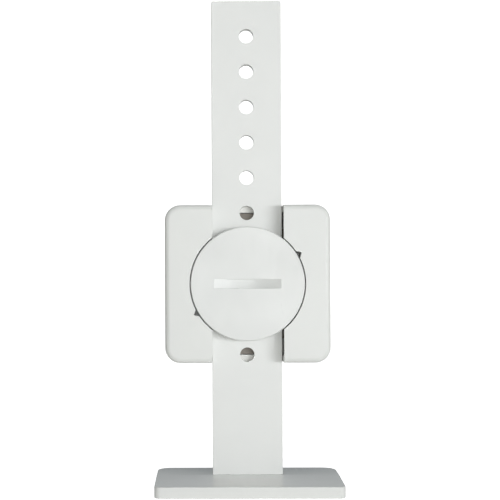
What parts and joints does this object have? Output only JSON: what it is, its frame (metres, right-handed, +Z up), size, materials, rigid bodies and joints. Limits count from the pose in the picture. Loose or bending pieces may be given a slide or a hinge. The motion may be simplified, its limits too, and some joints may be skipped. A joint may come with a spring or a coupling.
{
  "type": "adjustable lock post",
  "caption": "Free-standing flat bar with index holes on a thin foot, and a square lock housing that slides on the bar and is held by a round coin-turned cap.",
  "frame": {"origin": "centre of the underside of the foot pad, where the post stands", "axes": "+Z up along the bar, -Y towards the front (the cap side), +X to the right seen from the front"},
  "size_m": [0.0644, 0.034, 0.1724],
  "materials": {
    "white_moulding": "satin-gloss moulded plastic, off-white",
    "cap_moulding": "satin-gloss moulded plastic, off-white",
    "acetal": "natural acetal",
    "pad_rubber": "matt black rubber",
    "zinc_steel": "zinc-plated sheet",
    "dark_steel": "blackened sheet",
    "screw_steel": "zinc-plated fastener",
    "spring_steel": "tempered spring steel",
    "insert_brass": "turned"
  },
  "bodies": {
    "stand": {"foot": "white_moulding", "foot_pad": "pad_rubber", "ballast_plate": "zinc_steel", "heel_screws": "screw_steel", "upright_bar": "white_moulding"},
    "housing": {"housing_front": "white_moulding", "housing_back": "white_moulding", "housing_screws": "screw_steel", "thread_inserts": "insert_brass", "bayonet_tracks": "acetal", "glide_strips": "acetal", "backing_plate": "dark_steel", "plate_screws": "screw_steel", "index_spring": "spring_steel", "spring_rivets": "screw_steel"},
    "pad_carrier": {"pressure_plate": "zinc_steel", "friction_pad": "pad_rubber", "wave_washer": "spring_steel"},
    "cap": {"lock_cap": "cap_moulding", "retaining_clip": "spring_steel"}
  },
  "joints": [
    {"name": "height_slide", "type": "slide", "parent": "stand", "child": "housing", "axis": [0, 0, 1], "range_m": [-0.025, 0.0875], "deforming": ["index_spring"]},
    {"name": "cap_turn", "type": "hinge", "parent": "housing", "child": "pad_carrier", "pos_m": [0, 0.0013, 0.0724], "axis": [0, -1, 0], "range_deg": [0, 30]},
    {"name": "cap_press", "type": "slide", "parent": "pad_carrier", "child": "cap", "axis": [0, 1, 0], "range_m": [0, 0.0006], "stiffness_N_per_m": 600, "springref_m": -0.001, "deforming": ["wave_washer"]}
  ]
}
